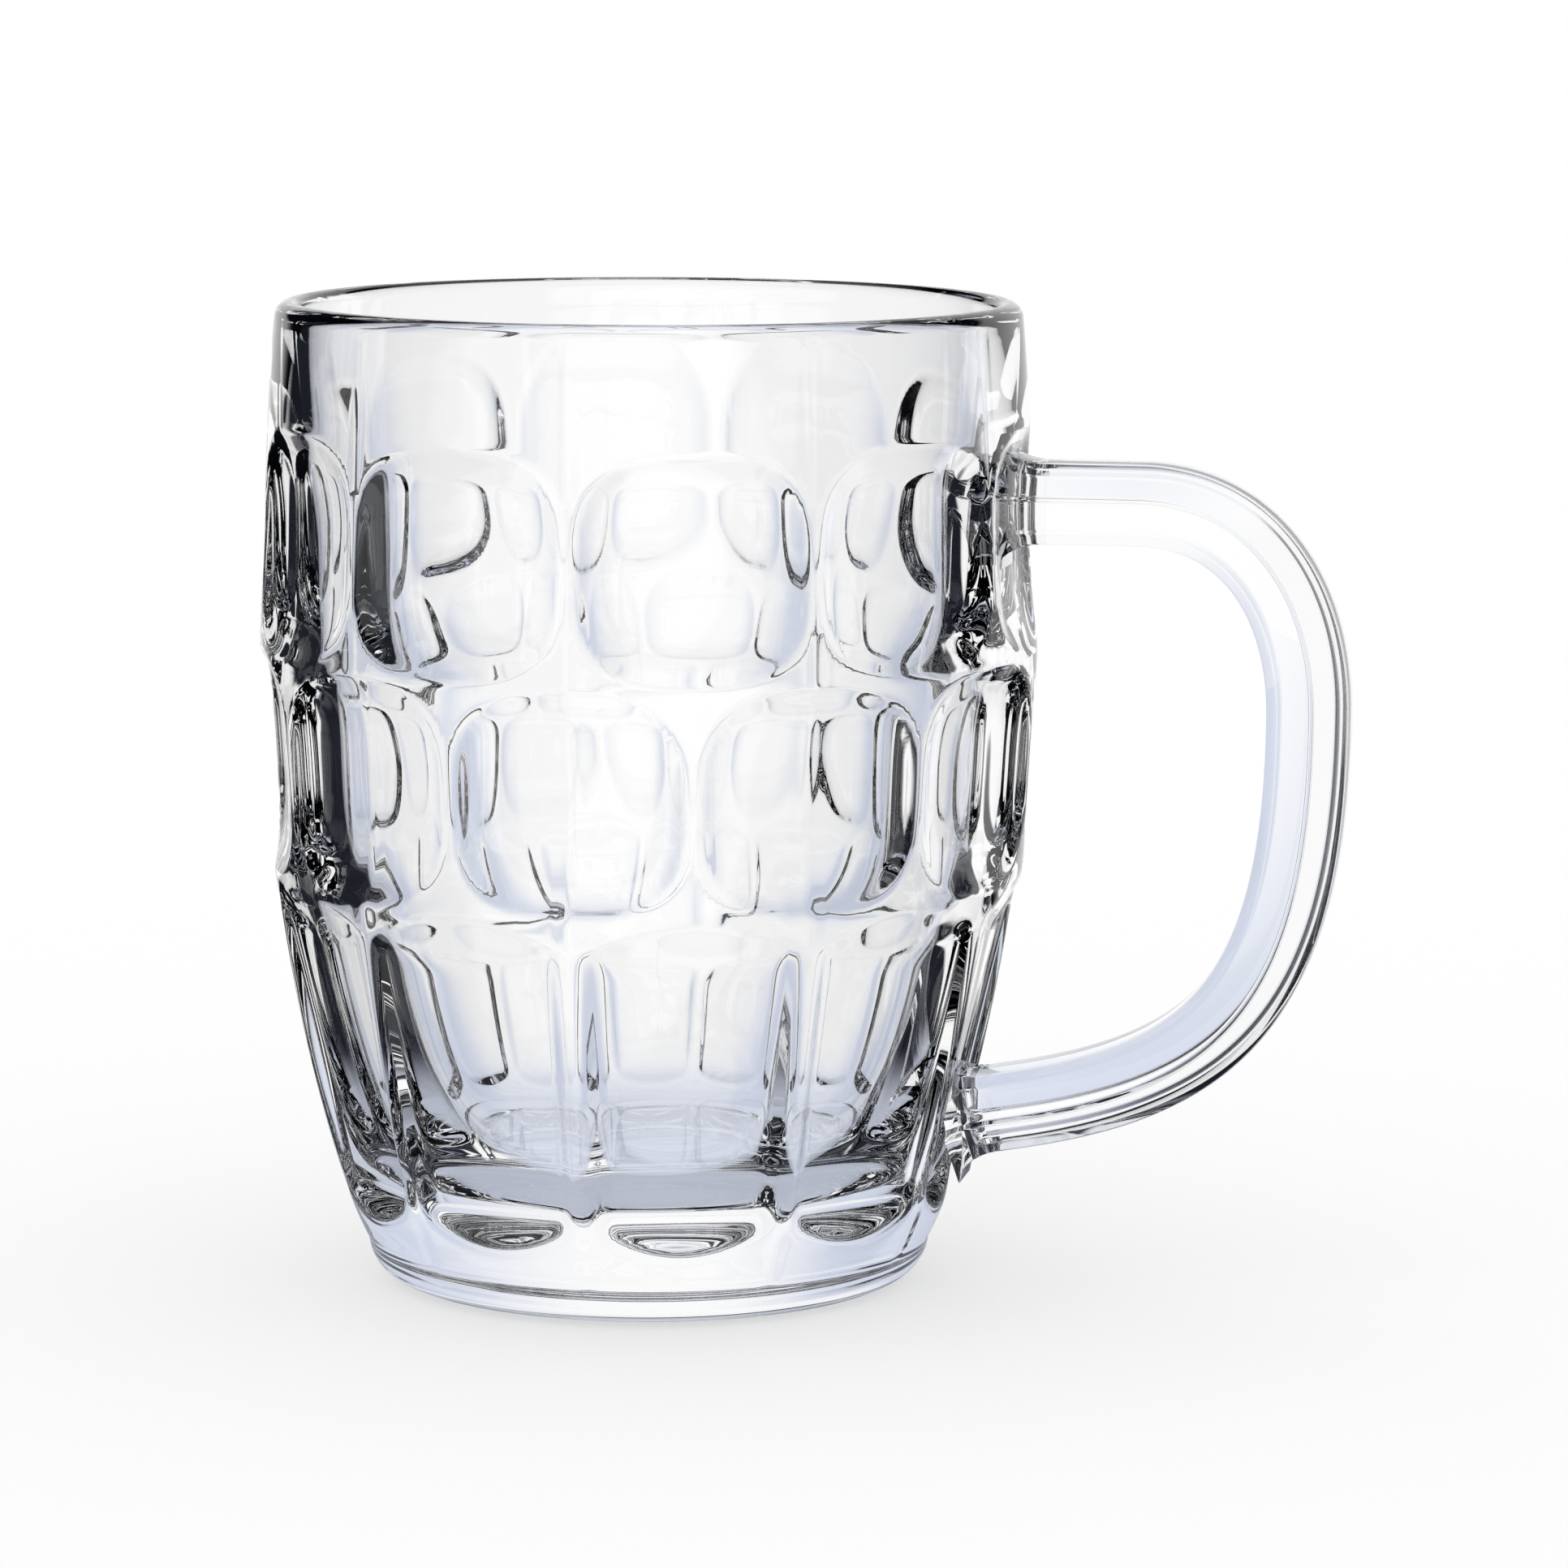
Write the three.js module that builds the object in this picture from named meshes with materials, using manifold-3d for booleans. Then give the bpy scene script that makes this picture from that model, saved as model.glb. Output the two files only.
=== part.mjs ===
// A pressed glass beer mug: a barrel body with two rows of dimples over a row of flutes,
// and a solid D-shaped handle stuck hot on its side.
// Millimetres, +Z up. The origin is the middle of the base and the handle points along +X.

import * as THREE from 'three';
import Module from 'manifold-3d';
import { mergeVertices } from 'three/addons/utils/BufferGeometryUtils.js';

const wasm = await Module();
wasm.setup();

// Barrel, outer form
const mugHeight = 120;
const bulgeRadius = 47.5;
const bulgeHeight = 76;
const neckRadius = 45.45;
const footRadius = 34.65;
const footRound = 5;
// Pulls of the two curves that draw the barrel's side
const footFlare = 3.5;
const footRise = 4.9;
const bellyPull = 33.5;
const shoulderPull = 2.4;
const neckLean = 1.05;
const neckPull = 10;

// Lip and cavity
const lipWall = 3.2;
const lipRise = 2;
const lipInnerRise = 1.3;
const lipCrestShare = 0.4;
const baseThickness = 12.5;
// The cavity tapers straight to its waist, and rounds in from there to the floor like a bowl
const cavityWaist = 58;
const cavityWall = 7.6;
const cavityWaistPull = 22;
const cavityFloorPull = 15;
const cavityFloorShare = 0.5;

// Columns of dimples and flutes
const columns = 10;
const columnAngle = 2 * Math.PI / columns;
const ridgeWidth = 1.3;
const plainBand = 14.8;
const dimpleHeight = 26.9;
const rowGap = 0.5;
const dimpleDepth = 2.6;
const dimpleEdgePower = 3;
const dimpleDishPower = 4;
const footBand = 9;
const fluteFoot = 14.5;
const fluteSlopeRun = 6.4;
const fluteArchDrop = 4;
const fluteArcRise = 2;

// Handle
const handleDrop = 23.5;
const handleRun = 12.9;
const handleReach = 33.6;
const handleCorner = 24.8;
const handleCornerPull = 13.6;
const handleSweepPull = 33.8;
const handleTailLean = 25.3;
const handleTailRise = 4.6;
const handleTailStart = 46;
const handleTailHeight = 22.3;
const handleThickness = 9.8;
const handleWidth = 12;
const handleOuterBevel = 3.9;
const handleOuterBevelSide = 3;
const handleInnerBevel = 2.1;
const handleInnerBevelSide = 2;
const weldFillet = 3;

// Clearance between the two pieces, and how far a cutting form passes the glass
const weldGap = 0.3;
const overrun = 4;

// Steps of the round forms
const facetsPerColumn = 6;
const sideSteps = 6;
const bowlSteps = 8;
const rimSteps = 4;
const dimpleSteps = 20;
const dimpleRingShares = [0.55, 0.78, 0.91, 1, 1.07];
const fluteColumnShares = [-1.1, -1, -0.6, 0, 0.6, 1, 1.1];
const fluteFloorShares = [0, 0.33, 0.67, 1];
const handleRunSteps = 3;
const handleCornerSteps = 12;
const handleSweepSteps = 16;
const filletSteps = 4;

// Heights that follow from the sizes above
const neckHeight = mugHeight - lipRise;
const upperDimple = mugHeight - plainBand - dimpleHeight / 2;
const lowerDimple = upperDimple - dimpleHeight - rowGap;
const fluteTop = lowerDimple - dimpleHeight / 2 - rowGap;

// Side of the barrel from the foot's rounding to the neck, pushed outward by grow
function sidePoints(grow) {
  const foot = new THREE.Vector2(footRadius + grow, footRound);
  const footPull = new THREE.Vector2(foot.x + footFlare, foot.y + footRise);
  const bulge = new THREE.Vector2(bulgeRadius + grow, bulgeHeight);
  const neck = new THREE.Vector2(neckRadius + grow, neckHeight);
  const lower = new THREE.CubicBezierCurve(
    foot, footPull, new THREE.Vector2(bulge.x, bulge.y - bellyPull), bulge);
  const upper = new THREE.CubicBezierCurve(
    bulge, new THREE.Vector2(bulge.x, bulge.y + shoulderPull),
    new THREE.Vector2(neck.x + neckLean, neck.y - neckPull), neck);
  return [...lower.getPoints(sideSteps), ...upper.getPoints(sideSteps).slice(1)];
}

// Quarter of an ellipse about (centreRadius, centreHeight), without its first point
function arcPoints(centreRadius, centreHeight, radius, height, from, to, steps) {
  const arc = new THREE.EllipseCurve(centreRadius, centreHeight, radius, height, from, to, to < from);
  return arc.getPoints(steps).slice(1);
}

// Outline of the outer form from the middle of the base to the crest of the lip
function outerOutline(grow) {
  const restRadius = footRadius - footRound;
  const crestRadius = neckRadius - lipWall * (1 - lipCrestShare);
  return [
    new THREE.Vector2(0, 0),
    new THREE.Vector2(restRadius, 0),
    ...arcPoints(restRadius, footRound, footRound + grow, footRound, -Math.PI / 2, 0, rimSteps),
    ...sidePoints(grow).slice(1),
    ...arcPoints(crestRadius, neckHeight, neckRadius + grow - crestRadius, lipRise,
      0, Math.PI / 2, rimSteps),
  ];
}

// Outline of the cavity from the crest of the lip down to the middle of the floor
function cavityOutline() {
  const mouth = new THREE.Vector2(neckRadius - lipWall, mugHeight - lipInnerRise);
  const crestRadius = neckRadius - lipWall * (1 - lipCrestShare);
  const waist = new THREE.Vector2(radiusAt(cavityWaist) - cavityWall, cavityWaist);
  const floor = new THREE.Vector2(footRadius * cavityFloorShare, baseThickness);
  const lean = (mouth.x - waist.x) / (mouth.y - waist.y);
  const bowl = new THREE.CubicBezierCurve(
    waist, new THREE.Vector2(waist.x - cavityWaistPull * lean, waist.y - cavityWaistPull),
    new THREE.Vector2(floor.x + cavityFloorPull, floor.y), floor);
  return [
    ...arcPoints(crestRadius, mouth.y, crestRadius - mouth.x, lipInnerRise,
      Math.PI / 2, Math.PI, rimSteps),
    ...bowl.getPoints(bowlSteps),
    new THREE.Vector2(0, baseThickness),
  ];
}

// Outside radius of the plain barrel at a height
function radiusAt(height) {
  const points = sidePoints(0);
  const above = points.findIndex((point) => point.y >= height);
  if (above < 0) return neckRadius;
  if (above === 0) return footRadius;
  const share = (height - points[above - 1].y) / (points[above].y - points[above - 1].y);
  return THREE.MathUtils.lerp(points[above - 1].x, points[above].x, share);
}

// Point on the barrel's side at an angle from +X
function around(radius, angle, height) {
  return [radius * Math.cos(angle), radius * Math.sin(angle), height];
}

// Geometry from a list of corners and a list of triangles
function meshOf(corners, faces) {
  const geometry = new THREE.BufferGeometry();
  geometry.setAttribute('position', new THREE.Float32BufferAttribute(corners.flat(), 3));
  geometry.setIndex(faces.flat());
  return geometry;
}

// Solid of a closed geometry, without the flat triangles that a revolve leaves at its axis
function solidOf(geometry) {
  const plain = geometry.clone();
  plain.deleteAttribute('normal');
  plain.deleteAttribute('uv');
  const merged = mergeVertices(plain);
  const index = merged.index.array;
  const triangles = [];
  for (let i = 0; i < index.length; i += 3) {
    const [a, b, c] = index.slice(i, i + 3);
    if (a !== b && b !== c && c !== a) triangles.push(a, b, c);
  }
  return new wasm.Manifold(new wasm.Mesh({
    numProp: 3,
    vertProperties: new Float32Array(merged.attributes.position.array),
    triVerts: new Uint32Array(triangles),
  }));
}

// Geometry of a solid, with normals at its corners
function geometryOf(solid) {
  const mesh = solid.getMesh();
  const geometry = new THREE.BufferGeometry();
  geometry.setAttribute('position', new THREE.BufferAttribute(mesh.vertProperties, 3));
  geometry.setIndex(new THREE.BufferAttribute(mesh.triVerts, 1));
  geometry.computeVertexNormals();
  return geometry;
}

// Revolve of an outline that starts and ends on the axis, with its axis along +Z
function revolve(outline) {
  const lathe = new THREE.LatheGeometry(outline, columns * facetsPerColumn);
  return solidOf(lathe.rotateX(Math.PI / 2));
}

// Half the angle that a dimple or flute takes, so that the ridge stays beside it
const halfAngle = columnAngle / 2 - ridgeWidth / 2 / bulgeRadius;

// Radius that a cutting form reaches, clear of the widest glass
function farOf(grow) {
  return Math.max(bulgeRadius, neckRadius) + grow + overrun;
}

// Cutting form of one dimple at +X: a dish with a rounded square edge that follows the barrel
function dimpleCutter(middle, grow) {
  const far = farOf(grow);
  const corners = [around(radiusAt(middle) + grow - dimpleDepth, 0, middle)];
  const faces = [];
  const edge = [];
  for (let i = 0; i < dimpleSteps; i += 1) {
    const turn = 2 * Math.PI * i / dimpleSteps;
    const across = Math.sign(Math.cos(turn)) * Math.abs(Math.cos(turn)) ** (2 / dimpleEdgePower);
    const up = Math.sign(Math.sin(turn)) * Math.abs(Math.sin(turn)) ** (2 / dimpleEdgePower);
    edge.push([across * halfAngle, up * dimpleHeight / 2]);
  }
  for (const share of dimpleRingShares) {
    const depth = dimpleDepth * (1 - share ** dimpleDishPower);
    for (const [angle, rise] of edge) {
      const height = middle + share * rise;
      corners.push(around(radiusAt(height) + grow - depth, share * angle, height));
    }
  }
  const last = dimpleRingShares.at(-1);
  for (const [angle, rise] of edge) corners.push(around(far, last * angle, middle + last * rise));
  corners.push(around(far, 0, middle));
  const rings = dimpleRingShares.length + 1;
  const start = (ring) => 1 + ring * dimpleSteps;
  for (let i = 0; i < dimpleSteps; i += 1) {
    const next = (i + 1) % dimpleSteps;
    faces.push([0, start(0) + next, start(0) + i]);
    for (let ring = 0; ring < rings - 1; ring += 1) {
      const a = start(ring) + i;
      const b = start(ring) + next;
      const c = start(ring + 1) + next;
      const d = start(ring + 1) + i;
      faces.push([a, b, c], [a, c, d]);
    }
    faces.push([start(rings - 1) + i, start(rings - 1) + next, corners.length - 1]);
  }
  return meshOf(corners, faces);
}

// Cutting form of one flute at +X: a flat face between two ridges, with a sloped arch over it
// and a scoop under it that runs out in the foot
function fluteCutter(grow) {
  const far = farOf(grow);
  const flat = (angle, height) => radiusAt(height) * Math.cos(halfAngle) / Math.cos(angle) + grow;
  const scoop = THREE.MathUtils.mapLinear(
    footBand - overrun,
    footBand,
    fluteFoot,
    radiusAt(footBand),
    radiusAt(fluteFoot) * Math.cos(halfAngle),
  );
  const front = fluteColumnShares.map((share) => {
    const angle = share * halfAngle;
    const within = Math.min(share * share, 1);
    const arc = fluteTop - fluteSlopeRun + fluteArcRise * within;
    const arch = fluteTop - fluteArchDrop * within;
    const floor = fluteFloorShares.map((floorShare) => {
      const height = THREE.MathUtils.lerp(fluteFoot, arc, floorShare);
      return around(flat(angle, height), angle, height);
    });
    return [
      around(scoop / Math.cos(angle) + grow, angle, footBand - overrun),
      ...floor,
      around(Math.max(radiusAt(arch) + grow, flat(angle, arch)), angle, arch),
      around(radiusAt(arch) + grow + overrun, angle, arch + overrun * fluteSlopeRun / flutedDepth()),
    ];
  });
  const back = front.map((column) => column.map(([x, y, z]) => {
    const stretch = far / Math.hypot(x, y);
    return [x * stretch, y * stretch, z];
  }));
  return slabOf(front, back);
}

// Depth of a flute's flat face in the middle, at its top
function flutedDepth() {
  return radiusAt(fluteTop) * (1 - Math.cos(halfAngle));
}

// Closed slab between two grids of the same size, the first one facing the axis
function slabOf(front, back) {
  const rows = front[0].length;
  const corners = [...front.flat(), ...back.flat()];
  const offset = front.flat().length;
  const faces = [];
  const quad = (a, b, c, d) => faces.push([a, b, c], [a, c, d]);
  for (let i = 0; i < front.length - 1; i += 1) {
    for (let j = 0; j < rows - 1; j += 1) {
      const at = i * rows + j;
      quad(at, at + 1, at + rows + 1, at + rows);
      quad(offset + at, offset + at + rows, offset + at + rows + 1, offset + at + 1);
    }
    const low = i * rows;
    const high = low + rows - 1;
    quad(low, low + rows, offset + low + rows, offset + low);
    quad(high, offset + high, offset + high + rows, high + rows);
  }
  for (let j = 0; j < rows - 1; j += 1) {
    const last = (front.length - 1) * rows + j;
    quad(j, offset + j, offset + j + 1, j + 1);
    quad(last, last + 1, offset + last + 1, offset + last);
  }
  return meshOf(corners, faces);
}

// Takes the cutting form away at every column, turned by a share of the column angle
function cutColumns(solid, cutter, turnShare) {
  let cut = solid;
  for (let column = 0; column < columns; column += 1) {
    const turned = cutter.clone().rotateZ((column + turnShare) * columnAngle);
    cut = cut.subtract(solidOf(turned));
  }
  return cut;
}

// Dimples and flutes of the outer form
function patterned(solid, grow) {
  const upper = cutColumns(solid, dimpleCutter(upperDimple, grow), 0);
  const lower = cutColumns(upper, dimpleCutter(lowerDimple, grow), 1 / 2);
  return cutColumns(lower, fluteCutter(grow), 0);
}

function makeBarrel() {
  const blank = revolve([...outerOutline(0), ...cavityOutline()]);
  return geometryOf(patterned(blank, 0));
}

// Section of the handle, as offsets across its width and out from its middle line
function handleSection() {
  const side = handleWidth / 2;
  const out = handleThickness / 2;
  const half = [
    [side - handleOuterBevelSide, out],
    [side, out - handleOuterBevel],
    [side, handleInnerBevel - out],
    [side - handleInnerBevelSide, -out],
  ];
  return [...half, ...half.toReversed().map(([across, along]) => [-across, along])];
}

// Middle line of the handle in the X-Z plane, from the upper weld round to the lower one
function handleLine() {
  const top = mugHeight - handleDrop;
  const point = (x, z) => new THREE.Vector3(x, 0, z);
  const runEnd = bulgeRadius + handleRun;
  const reach = bulgeRadius + handleReach;
  const widest = top - handleCorner;
  const run = new THREE.LineCurve3(point(upperSeat() - overrun, top), point(runEnd, top));
  const corner = new THREE.CubicBezierCurve3(
    point(runEnd, top), point(runEnd + handleCornerPull, top),
    point(reach, widest + handleCornerPull), point(reach, widest));
  const sweep = new THREE.CubicBezierCurve3(
    point(reach, widest), point(reach, widest - handleSweepPull),
    point(handleTailStart + handleTailLean, handleTailHeight + handleTailRise),
    point(handleTailStart, handleTailHeight));
  const tailLength = handleTailStart - lowerSeat() + overrun;
  const tailDrop = tailLength * handleTailRise / handleTailLean;
  const tail = new THREE.LineCurve3(
    point(handleTailStart, handleTailHeight),
    point(handleTailStart - tailLength, handleTailHeight - tailDrop));
  return { run, corner, sweep, tail };
}

// Radius of the dimple's bowl where the upper weld sits
function upperSeat() {
  const height = mugHeight - handleDrop;
  const share = Math.abs(height - upperDimple) / (dimpleHeight / 2);
  return radiusAt(height) - dimpleDepth * (1 - share ** dimpleDishPower);
}

// Radius of the flute's flat face where the lower weld sits
function lowerSeat() {
  return radiusAt(handleTailHeight) * Math.cos(halfAngle);
}

// How much the section spreads at a distance from the seat, as a round fillet
function spread(distance) {
  const away = THREE.MathUtils.clamp(distance, 0, weldFillet);
  return weldFillet - Math.sqrt(weldFillet ** 2 - (weldFillet - away) ** 2);
}

// Stations along a straight end piece: one inside the barrel, the fillet's steps, then the rest
function endStations(line, seatDistance, steps) {
  const length = line.getLength();
  const fillet = [];
  for (let i = 0; i <= filletSteps; i += 1) {
    const angle = Math.PI / 2 * i / filletSteps;
    fillet.push(seatDistance + weldFillet * (1 - Math.cos(angle)));
  }
  const stations = [0, ...fillet];
  for (let i = 1; i <= steps; i += 1) {
    stations.push(THREE.MathUtils.lerp(seatDistance + weldFillet, length, i / steps));
  }
  return stations.filter((station) => station <= length);
}

function makeHandle() {
  const { run, corner, sweep, tail } = handleLine();
  const section = handleSection();
  const rings = [];
  const addRing = (curve, share, distance) => {
    const middle = curve.getPointAt(share);
    const along = curve.getTangentAt(share);
    const widen = spread(distance);
    rings.push(section.map(([across, out]) => {
      const grownAcross = across * (1 + 2 * widen / handleWidth);
      const grownOut = out * (1 + 2 * widen / handleThickness);
      return [middle.x - along.z * grownOut, grownAcross, middle.z + along.x * grownOut];
    }));
  };
  const runLength = run.getLength();
  for (const station of endStations(run, overrun, handleRunSteps)) {
    addRing(run, station / runLength, station - overrun);
  }
  for (let i = 1; i <= handleCornerSteps; i += 1) addRing(corner, i / handleCornerSteps, weldFillet);
  for (let i = 1; i < handleSweepSteps; i += 1) addRing(sweep, i / handleSweepSteps, weldFillet);
  const tailLength = tail.getLength();
  for (const station of endStations(tail, overrun, 1).toReversed()) {
    addRing(tail, 1 - station / tailLength, station - overrun);
  }
  const blank = solidOf(loftOf(rings));
  const seat = patterned(revolve([...outerOutline(weldGap), new THREE.Vector2(0, mugHeight)]), weldGap);
  return geometryOf(blank.subtract(seat));
}

// Closed loft through rings of the same number of corners, each ring clockwise seen from ahead
function loftOf(rings) {
  const count = rings[0].length;
  const faces = [];
  for (let ring = 0; ring < rings.length - 1; ring += 1) {
    for (let i = 0; i < count; i += 1) {
      const next = (i + 1) % count;
      const a = ring * count + i;
      const b = ring * count + next;
      faces.push([a, b + count, b], [a, a + count, b + count]);
    }
  }
  const last = (rings.length - 1) * count;
  for (let i = 1; i < count - 1; i += 1) {
    faces.push([0, i, i + 1], [last, last + i + 1, last + i]);
  }
  return meshOf(rings.flat(), faces);
}

// Clear colourless glass
function glass() {
  return new THREE.MeshStandardMaterial({
    color: 0xeef1f6,
    roughness: 0.03,
    metalness: 0,
    transparent: true,
    opacity: 0.35,
  });
}

function pieceOf(name, geometry) {
  const piece = new THREE.Mesh(geometry, glass());
  piece.name = name;
  return piece;
}

const mug = new THREE.Group();
mug.add(pieceOf('glass_barrel', makeBarrel()));
mug.add(pieceOf('glass_handle', makeHandle()));

export default mug;
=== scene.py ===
import math
import bpy
import numpy as np
from mathutils import Matrix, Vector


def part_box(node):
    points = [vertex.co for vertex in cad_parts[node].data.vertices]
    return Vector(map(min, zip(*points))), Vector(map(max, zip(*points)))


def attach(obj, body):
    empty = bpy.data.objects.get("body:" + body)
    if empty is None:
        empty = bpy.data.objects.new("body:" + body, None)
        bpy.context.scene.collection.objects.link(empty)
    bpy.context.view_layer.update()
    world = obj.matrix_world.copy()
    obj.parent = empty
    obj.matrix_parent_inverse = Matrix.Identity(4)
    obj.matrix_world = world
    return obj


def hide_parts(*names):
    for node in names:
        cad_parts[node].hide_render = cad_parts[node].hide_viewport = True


# A clear pressed glass beer mug: a barrel with dimples and flutes, and a handle stuck hot on its side.
# Lengths are in millimetres and become metres where a mesh is made. A pull is how far a curve's
# control point lies from its end, and a share is a part of a whole, from 0 to 1.

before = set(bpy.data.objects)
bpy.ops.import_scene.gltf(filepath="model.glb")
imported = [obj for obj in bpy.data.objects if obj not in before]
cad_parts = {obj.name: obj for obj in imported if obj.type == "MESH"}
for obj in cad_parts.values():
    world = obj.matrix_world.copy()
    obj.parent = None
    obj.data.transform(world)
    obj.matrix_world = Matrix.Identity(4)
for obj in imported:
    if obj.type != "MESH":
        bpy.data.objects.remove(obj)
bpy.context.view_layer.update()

MM = 0.001
BARREL = "glass_barrel"
HANDLE = "glass_handle"

# Barrel, with its height and widest radius from the frame
barrel_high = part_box(BARREL)[1]
handle_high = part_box(HANDLE)[1]
mug_height = barrel_high.z / MM
bulge_radius = barrel_high.x / MM
bulge_height = 76
neck_radius = 45.45
foot_radius = 34.65
foot_round = 5
foot_flare = 3.5
foot_rise = 4.9
belly_pull = 33.5
shoulder_pull = 2.4
neck_lean = 1.05
neck_pull = 10

# Lip and cavity
lip_wall = 3.2
lip_rise = 2
lip_inner_rise = 1.3
lip_crest_share = 0.4
base_thickness = 12.5
cavity_waist = 58
cavity_wall = 7.6
cavity_waist_pull = 22
cavity_floor_pull = 15
cavity_floor_share = 0.5

# Columns of dimples and flutes
columns = 10
column_angle = 2 * math.pi / columns
ridge_width = 1.3
plain_band = 14.8
dimple_height = 26.9
row_gap = 0.5
dimple_depth = 2.6
dimple_edge_power = 3
dimple_dish_power = 4
foot_band = 9
flute_foot = 14.5
flute_depth = 2.6
flute_slope_run = 6.4
flute_arch_drop = 3.6
flute_arc_rise = 2.2
flute_wall = 2.5
flute_softness = 0.4
edge_softness = 0.35

# Handle: a straight run out from the upper weld, a corner, a long sweep and a short tail
handle_drop = 23.5
handle_run = 12.9
handle_corner = 24.8
handle_corner_pull = 13.6
handle_sweep_pull = 33.8
handle_tail_lean = 25.3
handle_tail_rise = 4.6
handle_tail_start = 46
handle_tail_height = 22.3
handle_thickness = 9.8
handle_width = 12
handle_outer_bevel = 3.9
handle_outer_bevel_side = 3
handle_inner_bevel = 1.4
handle_inner_bevel_side = 0.9
handle_edge_round = 0.25
handle_edge_share = 0.4
rim_step = 1.2
rim_run = 0.5
arc_share = 0.6
weld_reach = 5
weld_spread = 3
weld_depth = 0.4

# Fineness of the glass meshes
disc_shares = 0.34, 0.67
curve_steps = 200
around_steps = 360
wall_step = 0.6
round_steps = 10
bowl_steps = 24
handle_steps = 120
run_stride = 4
tail_stride = 8
section_steps = 4
blur_reach = 3

# Surface of the glass
glass_colour = (1, 1, 1, 1)
glass_ior = 1.52
haze_roughness = 0.01
haze_range = 0.4, 0.7
haze_scale = 130
haze_detail = 3
wave_height = 0.015
wave_scale = 90
wave_detail = 1

# Camera, worked out from the mug's outline in the photograph
camera_azimuth = math.radians(11.7)
camera_distance = 770
camera_rise = 171.56
camera_yaw = 0.0215
camera_pitch = 0.1431
camera_roll = 0.0035
focal_pixels = 7806.4
photo_pixels = 1932
sensor_width = 36
camera_clip = 10

# Studio: screens light what the glass reflects, and lamps light what is seen through it. The first
# lamp stands beyond the mug, as the photograph's camera looks, and the screens are turned from there
# by their phase. A screen begins where its wave passes the gap.
view_turn = math.radians(90) + camera_azimuth
screens = 2
screen_phase = math.radians(-16)
screen_gap = -0.4
screen_blur = 0.25
screen_narrowing = 2
cap_reach = 0.6, 0.8
lamps = 4
reflections = 5
light_bounces = 24
floor_size = 1600
floor_drop = 0.2
# How steeply down the light seen through the glass turns pale blue: on the floor near the mug this is
# painted shadow
floor_shadow_reach = 0.5, 1.0
shadow_share = 0.5
# The pale blue and the grey are also the painted shadow of the mug on the floor near it
studio_pale = (0.66, 0.71, 0.84, 1)
studio_grey = (0.48, 0.51, 0.6, 1)
studio_top = (0.85, 0.87, 0.92, 1)
studio_white = (1, 1, 1, 1)
studio_dark = (0.012, 0.014, 0.02, 1)

neck_height = mug_height - lip_rise
upper_dimple = mug_height - plain_band - dimple_height / 2
lower_dimple = upper_dimple - dimple_height - row_gap
flute_top = lower_dimple - dimple_height / 2 - row_gap


def bezier(p0, p1, p2, p3, t):
    """Points of a cubic curve at the shares t."""
    t = np.asarray(t, float)[:, None]
    p0, p1, p2, p3 = (np.asarray(p, float) for p in (p0, p1, p2, p3))
    return ((1 - t) ** 3 * p0 + 3 * (1 - t) ** 2 * t * p1
            + 3 * (1 - t) * t ** 2 * p2 + t ** 3 * p3)


def side_curve():
    """Radius and height of the barrel's side from the foot's rounding to the neck."""
    share = np.linspace(0, 1, curve_steps)
    lower = bezier((foot_radius, foot_round),
                   (foot_radius + foot_flare, foot_round + foot_rise),
                   (bulge_radius, bulge_height - belly_pull),
                   (bulge_radius, bulge_height), share)
    upper = bezier((bulge_radius, bulge_height),
                   (bulge_radius, bulge_height + shoulder_pull),
                   (neck_radius + neck_lean, neck_height - neck_pull),
                   (neck_radius, neck_height), share)
    return np.concatenate([lower, upper[1:]])


SIDE = side_curve()


def side_radius(height):
    """Outside radius of the plain barrel at a height."""
    return np.interp(height, SIDE[:, 1], SIDE[:, 0])


def smooth(share):
    """Rises from 0 to 1 with level ends."""
    share = np.clip(share, 0, 1)
    return share * share * (3 - 2 * share)


def soft_max(a, b, width):
    """The larger of two values, rounded where they cross."""
    mix = np.clip(0.5 + 0.5 * (a - b) / width, 0, 1)
    return b * (1 - mix) + a * mix + width * mix * (1 - mix)


def soft_min(a, b, width):
    """The smaller of two values, rounded where they cross."""
    return -soft_max(-a, -b, width)


def from_column(angle, turn_share):
    """Angle from the middle of the nearest column."""
    start = turn_share * column_angle
    return (angle - start + column_angle / 2) % column_angle - column_angle / 2


def dimple_cut(angle, height, middle, turn_share):
    """How deep the dimples of one row cut into the barrel."""
    half_angle = column_angle / 2 - ridge_width / 2 / bulge_radius
    across = np.abs(from_column(angle, turn_share)) / half_angle
    up = np.abs(height - middle) / (dimple_height / 2)
    share = (across ** dimple_edge_power + up ** dimple_edge_power) ** (1 / dimple_edge_power)
    return dimple_depth * np.clip(1 - share ** dimple_dish_power, 0, None)


def flute_radius(angle, height, plain):
    """Outside radius where the flutes cut into the barrel: a flat floor in each, with a scoop below
    it and an arch above it."""
    half_angle = column_angle / 2 - ridge_width / 2 / bulge_radius
    turn = from_column(angle, 0)
    within = np.clip(np.abs(turn) / half_angle, 0, 1) ** 2
    low, high = flute_foot, flute_top - flute_slope_run
    floor_low = side_radius(low) - flute_depth
    floor_high = side_radius(high) - flute_depth
    floor = floor_low + (floor_high - floor_low) * (height - low) / (high - low)
    scoop = floor_low + (side_radius(foot_band) - floor_low) * (low - height) / (low - foot_band)
    flat = soft_max(floor, scoop, flute_softness) / np.cos(turn)
    top = flute_top - flute_arch_drop * within
    arc = high + flute_arc_rise * within
    depth = side_radius(arc) - (side_radius(arc) - flute_depth) / np.cos(turn)
    arch = side_radius(top) - (top - height) * (side_radius(top) - side_radius(arc) + depth) / (top - arc)
    cut = soft_max(flat, arch, flute_softness)
    edge = smooth((half_angle - np.abs(turn)) * plain / flute_wall)
    return soft_min(plain, plain - (plain - cut) * edge, flute_softness)


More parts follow.
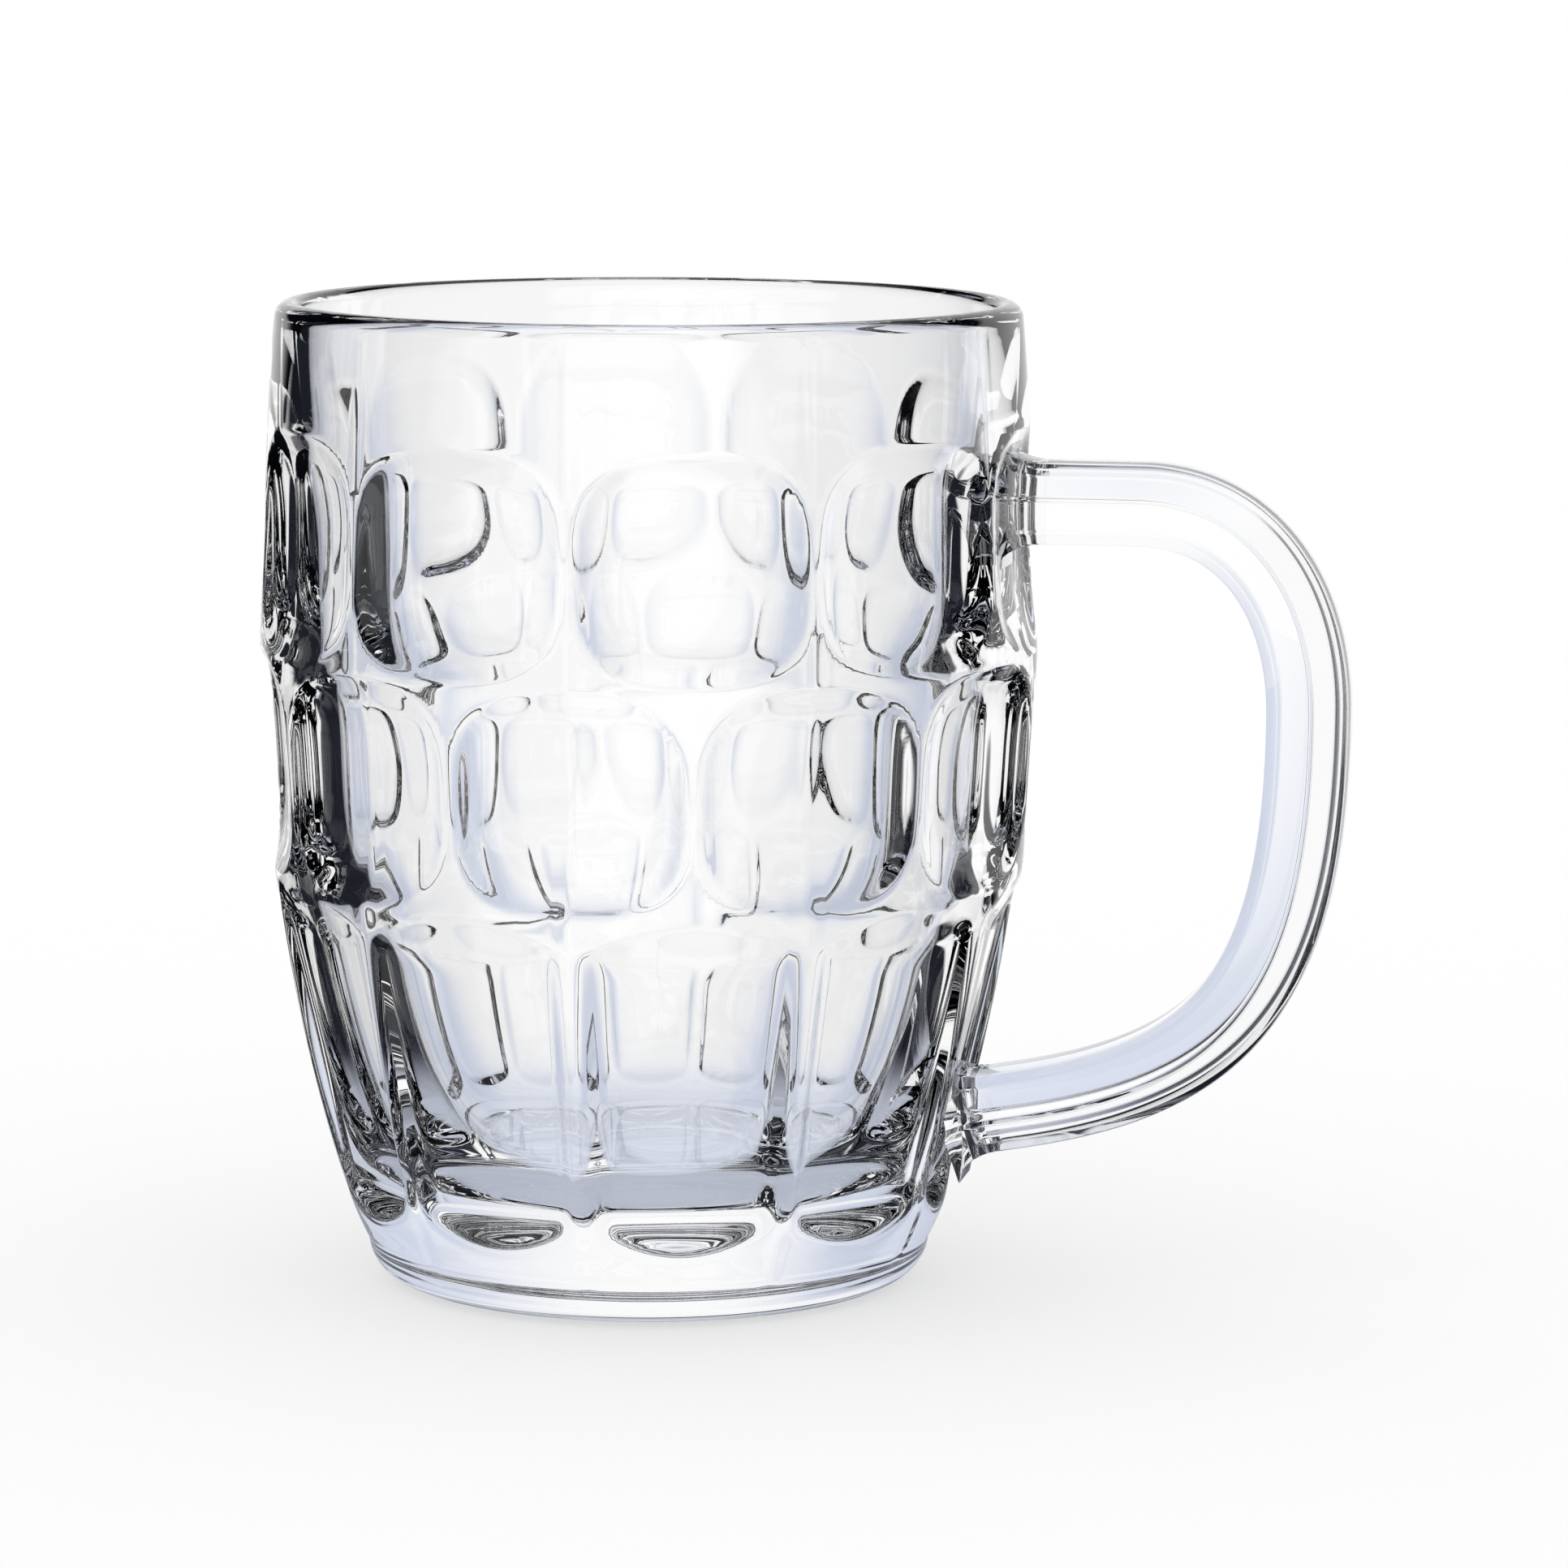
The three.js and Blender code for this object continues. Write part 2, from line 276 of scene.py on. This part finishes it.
def outer_radius(angle, height):
    """Outside radius of the barrel with its dimples and flutes."""
    plain = side_radius(height)
    cut = np.maximum(dimple_cut(angle, height, upper_dimple, 0),
                     dimple_cut(angle, height, lower_dimple, 0.5))
    return flute_radius(angle, height, plain - cut)


def quarter(steps):
    """Turns of a quarter circle without its start."""
    return np.linspace(0, math.pi / 2, steps + 1)[1:]


def blur_weights(width):
    """Reach and weights of a bell curve, for a width in steps of the mesh."""
    reach = math.ceil(blur_reach * width)
    offsets = np.arange(-reach, reach + 1)
    weights = np.exp(-(offsets / width) ** 2 / 2)
    return reach, weights / weights.sum()


def soften(radii):
    """Rounds the edges in a map of radii, as fire-polishing does."""
    reach, weights = blur_weights(edge_softness * around_steps / (2 * math.pi * bulge_radius))
    radii = sum(weight * np.roll(radii, turn - reach, axis=1) for turn, weight in enumerate(weights))
    reach, weights = blur_weights(edge_softness / wall_step)
    padded = np.pad(radii, ((reach, reach), (0, 0)), mode="edge")
    return sum(weight * padded[row:row + len(radii)] for row, weight in enumerate(weights))


def cavity_curve():
    """Radius and height of the cavity from the lip's inner edge down to the flat of the floor."""
    mouth = np.array([neck_radius - lip_wall, mug_height - lip_inner_rise])
    waist = np.array([side_radius(cavity_waist) - cavity_wall, cavity_waist])
    floor = np.array([foot_radius * cavity_floor_share, base_thickness])
    lean = (mouth - waist) / (mouth[1] - waist[1])
    wall = mouth + (waist - mouth) * np.linspace(0, 1, bowl_steps)[1:, None]
    bowl = bezier(waist, waist - cavity_waist_pull * lean, floor + (cavity_floor_pull, 0), floor,
                  np.linspace(0, 1, bowl_steps)[1:])
    return np.concatenate([wall, bowl])


def barrel_rings():
    """Rings of points from the middle of the base, up the outside and down the cavity."""
    angle = np.linspace(0, 2 * math.pi, around_steps, endpoint=False)
    flat = np.ones(around_steps)
    rest = foot_radius - foot_round
    crest = neck_radius - lip_wall * (1 - lip_crest_share)
    mouth = neck_radius - lip_wall
    rings = [(flat * rest * share, np.zeros(around_steps)) for share in (*disc_shares, 1)]
    for turn in quarter(round_steps):
        rings.append((flat * (rest + foot_round * math.sin(turn)),
                      flat * foot_round * (1 - math.cos(turn))))
    heights = np.arange(foot_round + wall_step, neck_height - wall_step / 2, wall_step)
    radii = soften(outer_radius(*np.meshgrid(angle, heights)))
    rings += [(radius, flat * height) for radius, height in zip(radii, heights)]
    for turn in np.concatenate([[0], quarter(round_steps)]):
        rings.append((flat * (crest + (neck_radius - crest) * math.cos(turn)),
                      flat * (neck_height + lip_rise * math.sin(turn))))
    for turn in quarter(round_steps):
        rings.append((flat * (crest - (crest - mouth) * math.sin(turn)),
                      flat * (mug_height - lip_inner_rise * (1 - math.cos(turn)))))
    cavity = cavity_curve()
    rings += [(flat * radius, flat * height) for radius, height in cavity]
    rings += [(flat * cavity[-1, 0] * share, flat * base_thickness) for share in disc_shares[::-1]]
    return [np.stack([radius * np.cos(angle), radius * np.sin(angle), height], -1)
            for radius, height in rings]


def tube_mesh(name, rings, start, end):
    """Closed mesh through rings of the same number of points, with a middle point at each end. Its
    texture coordinates run round the rings and along the tube."""
    count = len(rings[0])
    corners = np.concatenate([*rings, [start], [end]]) * MM
    here = np.arange(count)
    following = (here + 1) % count
    faces = []
    uvs = []
    left, right = here / count, (here + 1) / count
    for ring in range(len(rings) - 1):
        low, high = ring * count, (ring + 1) * count
        faces += np.stack([low + here, low + following, high + following, high + here], -1).tolist()
        start_share, end_share = np.full((2, count), [[ring], [ring + 1]]) / (len(rings) - 1)
        uvs.append(np.stack([left, start_share, right, start_share,
                             right, end_share, left, end_share], -1).ravel())
    last = (len(rings) - 1) * count
    middle = len(rings) * count
    faces += np.stack([following, here, np.full(count, middle)], -1).tolist()
    faces += np.stack([last + here, last + following, np.full(count, middle + 1)], -1).tolist()
    centre = (left + right) / 2
    low, high = np.zeros(count), np.ones(count)
    uvs.append(np.stack([right, low, left, low, centre, low], -1).ravel())
    uvs.append(np.stack([left, high, right, high, centre, high], -1).ravel())
    mesh = bpy.data.meshes.new(name)
    mesh.from_pydata(corners.tolist(), [], faces)
    mesh.uv_layers.new(name="UVMap").data.foreach_set("uv", np.concatenate(uvs))
    mesh.shade_smooth()
    mesh.update()
    return mesh


def add_piece(name, mesh, material):
    """Object of a mesh and a material, linked to the scene."""
    piece = bpy.data.objects.new(name, mesh)
    bpy.context.scene.collection.objects.link(piece)
    mesh.materials.append(material)
    return piece


def handle_line():
    """Points of the handle's middle line in the X-Z plane, from the upper weld to the lower one, and
    the length of the line up to each."""
    top = mug_height - handle_drop
    run_end = bulge_radius + handle_run
    reach = handle_high.x / MM - handle_thickness / 2
    widest = top - handle_corner
    seat = side_radius(top) - dimple_depth - weld_depth
    share = np.linspace(0, 1, handle_steps)
    run_share = share[::run_stride]
    run = np.stack([seat + (run_end - seat) * run_share, np.full_like(run_share, top)], -1)
    corner = bezier((run_end, top), (run_end + handle_corner_pull, top),
                    (reach, widest + handle_corner_pull), (reach, widest), share)
    tail_start = (handle_tail_start, handle_tail_height)
    tail_pull = (handle_tail_start + handle_tail_lean, handle_tail_height + handle_tail_rise)
    sweep = bezier((reach, widest), (reach, widest - handle_sweep_pull), tail_pull, tail_start, share)
    tail_length = handle_tail_start - side_radius(handle_tail_height) + flute_depth + weld_depth
    inward = tail_length * share[::tail_stride]
    tail = np.stack([handle_tail_start - inward,
                     handle_tail_height - inward * handle_tail_rise / handle_tail_lean], -1)
    line = np.concatenate([run, corner[1:], sweep[1:], tail[1:]])
    steps = np.hypot(*np.diff(line, axis=0).T)
    return line, np.concatenate([[0], np.cumsum(steps)])


def handle_section():
    """Closed section of the handle with rounded edges, as offsets across and outward. Its outer rim
    stands a little proud of its sides."""
    side = handle_width / 2
    out = handle_thickness / 2
    half = [
        (side - handle_outer_bevel_side, out),
        (side, out - handle_outer_bevel),
        (side - rim_step, out - handle_outer_bevel - rim_run),
        (side - rim_step, handle_inner_bevel - out),
        (side - rim_step - handle_inner_bevel_side, -out),
    ]
    corners = np.array(half + [(-across, outward) for across, outward in reversed(half)])
    points = []
    for i, corner in enumerate(corners):
        points.append(round_corner(corners[i - 1], corner, corners[(i + 1) % len(corners)]))
    return np.concatenate(points)


def round_corner(last, corner, following):
    """Points of a rounded corner between two straight sides."""
    ends = []
    for neighbour in (last, following):
        length = np.hypot(*(neighbour - corner))
        ends.append(corner + (neighbour - corner) * min(handle_edge_round / length, handle_edge_share))
    before, after = ends
    share = np.linspace(0, 1, section_steps + 1)
    return bezier(before, before + (corner - before) * arc_share, after + (corner - after) * arc_share,
                  after, share)


def handle_rings():
    """Rings of points along the handle, which flares where it is welded on."""
    line, along = handle_line()
    tangent = np.gradient(line, along, axis=0)
    tangent /= np.hypot(*tangent.T)[:, None]
    section = handle_section()
    rings = []
    for point, ahead, distance in zip(line, tangent, along):
        away = min(distance, along[-1] - distance, weld_reach) / weld_reach
        spread = weld_spread * (1 - math.sqrt(1 - (1 - away) ** 2))
        across = section[:, 0] * (1 + 2 * spread / handle_width)
        outward = section[:, 1] * (1 + 2 * spread / handle_thickness)
        rings.append(np.stack([point[0] - ahead[1] * outward, across,
                               point[1] + ahead[0] * outward], -1))
    return [ring[::-1] for ring in rings]


def noise(tree, place, scale, detail):
    """Noise at a place on the glass."""
    node = tree.nodes.new("ShaderNodeTexNoise")
    node.inputs["Scale"].default_value = scale
    node.inputs["Detail"].default_value = detail
    tree.links.new(place, node.inputs["Vector"])
    return node.outputs["Fac"]


def glass_material(name):
    """Clear pressed glass: slow waves left by the mould, and a faint haze that comes and goes."""
    material = bpy.data.materials.new(name)
    material.use_nodes = True
    tree = material.node_tree
    place = tree.nodes.new("ShaderNodeTexCoord").outputs["Object"]
    haze = tree.nodes.new("ShaderNodeMapRange")
    haze.inputs["From Min"].default_value, haze.inputs["From Max"].default_value = haze_range
    haze.inputs["To Max"].default_value = haze_roughness
    tree.links.new(noise(tree, place, haze_scale, haze_detail), haze.inputs["Value"])
    waves = tree.nodes.new("ShaderNodeBump")
    waves.inputs["Strength"].default_value = 1
    waves.inputs["Distance"].default_value = wave_height * MM
    tree.links.new(noise(tree, place, wave_scale, wave_detail), waves.inputs["Height"])
    shader = tree.nodes["Principled BSDF"]
    tree.links.new(haze.outputs["Result"], shader.inputs["Roughness"])
    tree.links.new(waves.outputs["Normal"], shader.inputs["Normal"])
    shader.inputs["Base Color"].default_value = glass_colour
    shader.inputs["IOR"].default_value = glass_ior
    shader.inputs["Transmission Weight"].default_value = 1
    return material


def build_mug():
    """The two pieces of glass, each in place of its CAD node."""
    barrel = add_piece("barrel", tube_mesh("barrel", barrel_rings(), (0, 0, 0), (0, 0, base_thickness)),
                       glass_material("barrel_glass"))
    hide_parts(BARREL)
    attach(barrel, "root")
    rings = handle_rings()
    handle = add_piece("handle", tube_mesh("handle", rings, rings[0].mean(0), rings[-1].mean(0)),
                       glass_material("handle_glass"))
    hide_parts(HANDLE)
    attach(handle, "root")


def make_camera():
    """The photograph's viewpoint."""
    ahead = np.array([math.sin(camera_yaw) * math.cos(camera_pitch),
                      math.cos(camera_yaw) * math.cos(camera_pitch),
                      -math.sin(camera_pitch)])
    right = np.array([math.cos(camera_yaw), -math.sin(camera_yaw), 0])
    up = np.cross(right, ahead)
    right, up = (math.cos(camera_roll) * right + math.sin(camera_roll) * up,
                 math.cos(camera_roll) * up - math.sin(camera_roll) * right)
    spin = Matrix.Rotation(camera_azimuth, 4, "Z")
    axes = Matrix((right, up, -ahead)).transposed().to_4x4()
    axes.translation = np.array([0, -camera_distance, camera_rise]) * MM
    data = bpy.data.cameras.new("camera")
    data.sensor_width = sensor_width
    data.lens = focal_pixels / photo_pixels * sensor_width
    data.clip_start = camera_clip * MM
    camera = bpy.data.objects.new("camera", data)
    bpy.context.scene.collection.objects.link(camera)
    camera.matrix_world = spin @ axes
    bpy.context.scene.camera = camera


def calculate(tree, operation, first, second=None):
    """Result of a Math node on numbers or sockets."""
    node = tree.nodes.new("ShaderNodeMath")
    node.operation = operation
    for socket, value in zip(node.inputs, (first, second)):
        if isinstance(value, (int, float)):
            socket.default_value = value
        elif value is not None:
            tree.links.new(value, socket)
    return node.outputs[0]


def blend_colours(tree, share, first, second):
    """The first colour where the share is 0 and the second where it is 1."""
    mix = tree.nodes.new("ShaderNodeMix")
    mix.data_type = "RGBA"
    colours = [socket for socket in mix.inputs if socket.type == "RGBA"]
    for socket, value in zip(colours, (first, second)):
        if isinstance(value, tuple):
            socket.default_value = value
        else:
            tree.links.new(value, socket)
    tree.links.new(share, mix.inputs[0])
    return [socket for socket in mix.outputs if socket.type == "RGBA"][0]


def soft_step(tree, value, start, end):
    """0 before the start, 1 after the end and smooth between them."""
    node = tree.nodes.new("ShaderNodeMapRange")
    node.interpolation_type = "SMOOTHSTEP"
    node.inputs["From Min"].default_value = start
    node.inputs["From Max"].default_value = end
    tree.links.new(value, node.inputs["Value"])
    return node.outputs["Result"]


def sectors(tree, turn, count, phase):
    """A wave round the object, 1 in the middle of each sector and -1 between them."""
    turn = calculate(tree, "MULTIPLY", calculate(tree, "SUBTRACT", turn, view_turn + phase), count)
    return calculate(tree, "COSINE", turn)


def studio_colour(tree, direction):
    """Light from each direction. The backdrop is white where it is seen directly. Through the glass
    it is pale blue between the lamps and straight below. Light that the glass has reflected comes
    from white screens, narrower at their ends, with black between them, pale above them and grey
    below. The floor glows with this light, so straight below, near the mug, the pale blue and the
    grey are painted shadow of the mug on the floor."""
    parts = tree.nodes.new("ShaderNodeSeparateXYZ")
    tree.links.new(direction, parts.inputs[0])
    turn = calculate(tree, "ARCTAN2", parts.outputs["Y"], parts.outputs["X"])
    steep = calculate(tree, "ABSOLUTE", parts.outputs["Z"])
    down = calculate(tree, "MULTIPLY", parts.outputs["Z"], -1.0)
    narrowing = calculate(tree, "MULTIPLY", steep, screen_narrowing)
    wave = calculate(tree, "SUBTRACT", sectors(tree, turn, screens, screen_phase), narrowing)
    screen = soft_step(tree, wave, screen_gap, screen_gap + screen_blur)
    reflected = blend_colours(tree, screen, studio_dark, studio_white)
    # Grey straight below: on the floor near the mug, painted shadow seen in reflections
    ends = blend_colours(tree, calculate(tree, "GREATER_THAN", parts.outputs["Z"], 0.0),
                         studio_grey, studio_top)
    reflected = blend_colours(tree, soft_step(tree, steep, *cap_reach), reflected, ends)
    between_lamps = soft_step(tree, sectors(tree, turn, lamps, 0), 1.0, -1.0)
    # Pale blue straight below: on the floor near the mug, painted shadow seen through the glass
    fade = calculate(tree, "MAXIMUM", soft_step(tree, down, *floor_shadow_reach), between_lamps)
    backdrop = blend_colours(tree, fade, studio_white, studio_pale)
    path = tree.nodes.new("ShaderNodeLightPath")
    through = blend_colours(tree, path.outputs["Is Transmission Ray"], studio_white, backdrop)
    bounced = calculate(tree, "GREATER_THAN", path.outputs["Glossy Depth"], 0.0)
    return blend_colours(tree, bounced, through, reflected)


def floor_surface(name):
    """Floor that is white to the camera and keeps the shadow of the mug there, partly lightened by its
    glow. To the glass it glows with the studio's light instead of being lit, with painted shadow near the
    mug.
    """
    material = bpy.data.materials.new(name)
    material.use_nodes = True
    tree = material.node_tree
    tree.nodes.clear()
    output = tree.nodes.new("ShaderNodeOutputMaterial")
    place = tree.nodes.new("ShaderNodeNewGeometry")
    from_middle = tree.nodes.new("ShaderNodeVectorMath")
    from_middle.operation = "SUBTRACT"
    from_middle.inputs[1].default_value = (0, 0, mug_height / 2 * MM)
    tree.links.new(place.outputs["Position"], from_middle.inputs[0])
    direction = tree.nodes.new("ShaderNodeVectorMath")
    direction.operation = "NORMALIZE"
    tree.links.new(from_middle.outputs["Vector"], direction.inputs[0])
    # Glow of the floor: the studio's light by direction from the mug's middle, which paints the mug's
    # shadow near it
    light = tree.nodes.new("ShaderNodeEmission")
    tree.links.new(studio_colour(tree, direction.outputs["Vector"]), light.inputs["Color"])
    paint = tree.nodes.new("ShaderNodeBsdfDiffuse")
    paint.inputs["Color"].default_value = studio_white
    path = tree.nodes.new("ShaderNodeLightPath")
    mix = tree.nodes.new("ShaderNodeMixShader")
    tree.links.new(calculate(tree, "MULTIPLY", path.outputs["Is Camera Ray"], shadow_share), mix.inputs[0])
    tree.links.new(light.outputs[0], mix.inputs[1])
    tree.links.new(paint.outputs[0], mix.inputs[2])
    tree.links.new(mix.outputs[0], output.inputs["Surface"])
    return material


def make_stage():
    """White floor and white studio."""
    bpy.ops.mesh.primitive_plane_add(size=floor_size * MM, location=(0, 0, -floor_drop * MM))
    floor = bpy.context.object
    floor.name = "floor"
    floor.data.materials.append(floor_surface("floor_white"))
    world = bpy.data.worlds.new("studio")
    world.use_nodes = True
    tree = world.node_tree
    place = tree.nodes.new("ShaderNodeTexCoord")
    colour = studio_colour(tree, place.outputs["Generated"])
    tree.links.new(colour, tree.nodes["Background"].inputs["Color"])
    tree.nodes["Background"].inputs["Strength"].default_value = 1
    bpy.context.scene.world = world


make_camera()
make_stage()
build_mug()
bpy.context.scene.view_settings.view_transform = "Standard"
bpy.context.scene.cycles.transmission_bounces = light_bounces
bpy.context.scene.cycles.glossy_bounces = reflections
bpy.context.scene.cycles.max_bounces = light_bounces
